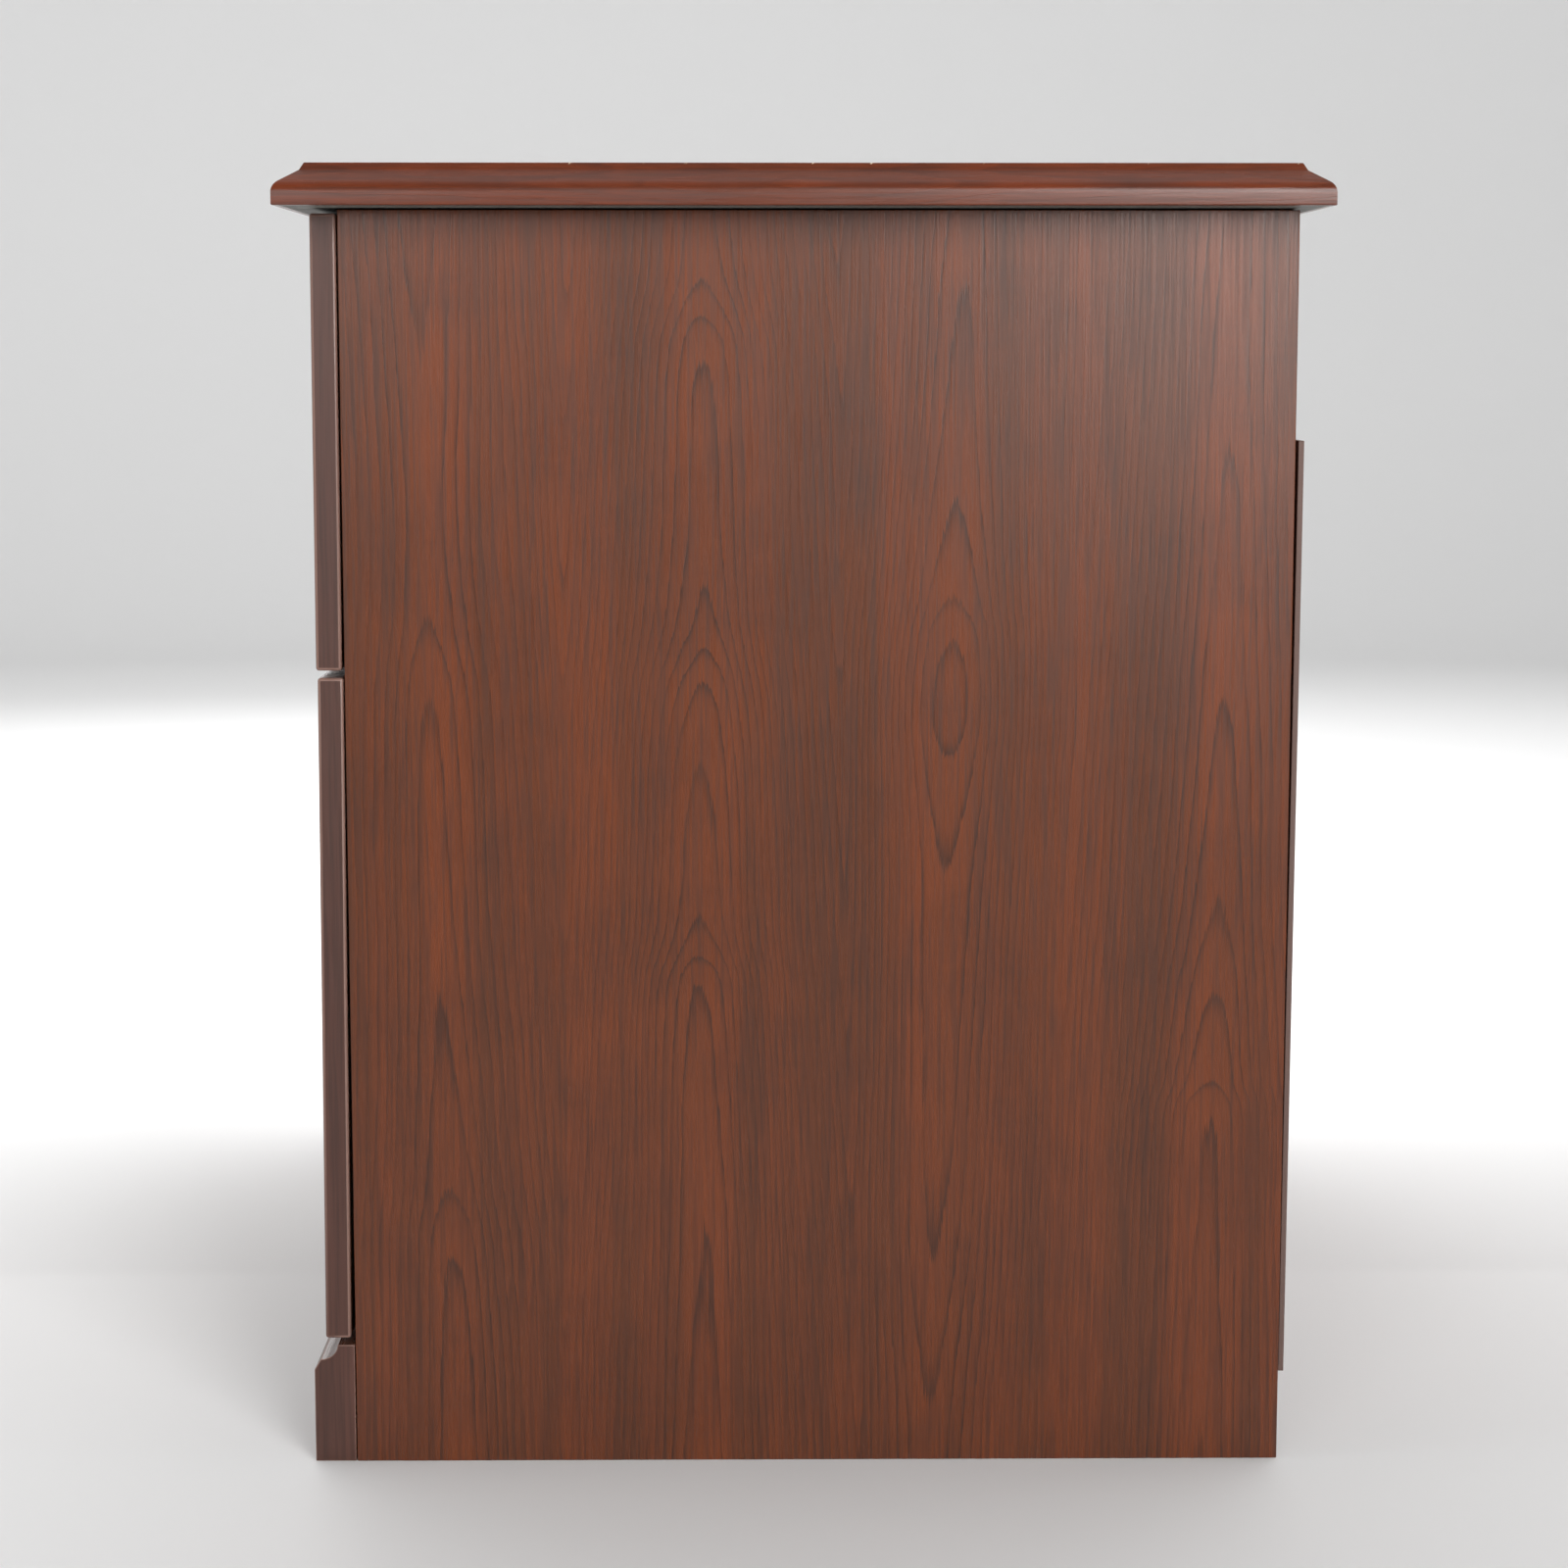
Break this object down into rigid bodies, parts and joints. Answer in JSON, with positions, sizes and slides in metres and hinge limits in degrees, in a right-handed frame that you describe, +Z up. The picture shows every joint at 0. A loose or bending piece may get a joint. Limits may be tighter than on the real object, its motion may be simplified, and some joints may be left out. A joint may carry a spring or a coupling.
{
  "type": "lateral file cabinet",
  "caption": "Wood-laminate lateral cabinet: a shallow drawer over a deep hanging-file drawer on telescopic slides, under an overhanging moulded top, on a moulded base rail.",
  "frame": {"origin": "centre of the bounding box at floor level", "axes": "+Z up, -Y towards the drawer fronts, +X along the width, towards the right-hand side of someone who faces the drawers"},
  "size_m": [0.95, 0.6054, 0.76],
  "materials": {
    "laminate": "satin reddish-brown cherry laminate with vertical cathedral grain",
    "drawer_board": "matt pale maple-print board",
    "hardboard": "matt hardboard printed in the laminate colour",
    "steel": "bright zinc plate",
    "brass": "antique brass, darkened in the hollows"
  },
  "bodies": {
    "carcass": {"top": "laminate", "left_side": "laminate", "right_side": "laminate", "bottom_panel": "laminate", "base_front_rail": "laminate", "base_rear_rail": "laminate", "mid_rail": "laminate", "front_top_rail": "laminate", "rear_top_rail": "laminate", "back_panel": "hardboard", "left_top_cleat": "drawer_board", "right_top_cleat": "drawer_board", "upper_left_slide_cabinet": "steel", "upper_right_slide_cabinet": "steel", "lower_left_slide_cabinet": "steel", "lower_right_slide_cabinet": "steel"},
    "upper_drawer": {"upper_front": "laminate", "upper_box_front": "drawer_board", "upper_box_rear": "drawer_board", "upper_box_left": "drawer_board", "upper_box_right": "drawer_board", "upper_box_bottom": "drawer_board", "upper_left_pull": "brass", "upper_right_pull": "brass", "upper_pull_screw_1": "steel", "upper_pull_screw_2": "steel", "upper_pull_screw_3": "steel", "upper_pull_screw_4": "steel", "upper_left_slide_drawer": "steel", "upper_right_slide_drawer": "steel"},
    "upper_slide_middles": {"upper_left_slide_middle": "steel", "upper_right_slide_middle": "steel"},
    "lower_drawer": {"lower_front": "laminate", "lower_box_front": "drawer_board", "lower_box_rear": "drawer_board", "lower_box_left": "drawer_board", "lower_box_right": "drawer_board", "lower_box_bottom": "drawer_board", "lower_left_pull": "brass", "lower_right_pull": "brass", "lower_pull_screw_1": "steel", "lower_pull_screw_2": "steel", "lower_pull_screw_3": "steel", "lower_pull_screw_4": "steel", "lower_left_slide_drawer": "steel", "lower_right_slide_drawer": "steel", "lower_file_bar_front": "steel", "lower_file_bar_rear": "steel"},
    "lower_slide_middles": {"lower_left_slide_middle": "steel", "lower_right_slide_middle": "steel"}
  },
  "joints": [
    {"name": "upper_drawer_slide", "type": "slide", "parent": "carcass", "child": "upper_drawer", "axis": [0, -1, 0], "range_m": [0, 0.4]},
    {"name": "upper_middle_slide", "type": "slide", "parent": "carcass", "child": "upper_slide_middles", "axis": [0, -1, 0], "range_m": [0, 0.2]},
    {"name": "lower_drawer_slide", "type": "slide", "parent": "carcass", "child": "lower_drawer", "axis": [0, -1, 0], "range_m": [0, 0.4]},
    {"name": "lower_middle_slide", "type": "slide", "parent": "carcass", "child": "lower_slide_middles", "axis": [0, -1, 0], "range_m": [0, 0.2]}
  ],
  "couplings": [
    {"joint": "upper_middle_slide", "follows": "upper_drawer_slide", "ratio": 0.5},
    {"joint": "lower_middle_slide", "follows": "lower_drawer_slide", "ratio": 0.5}
  ]
}
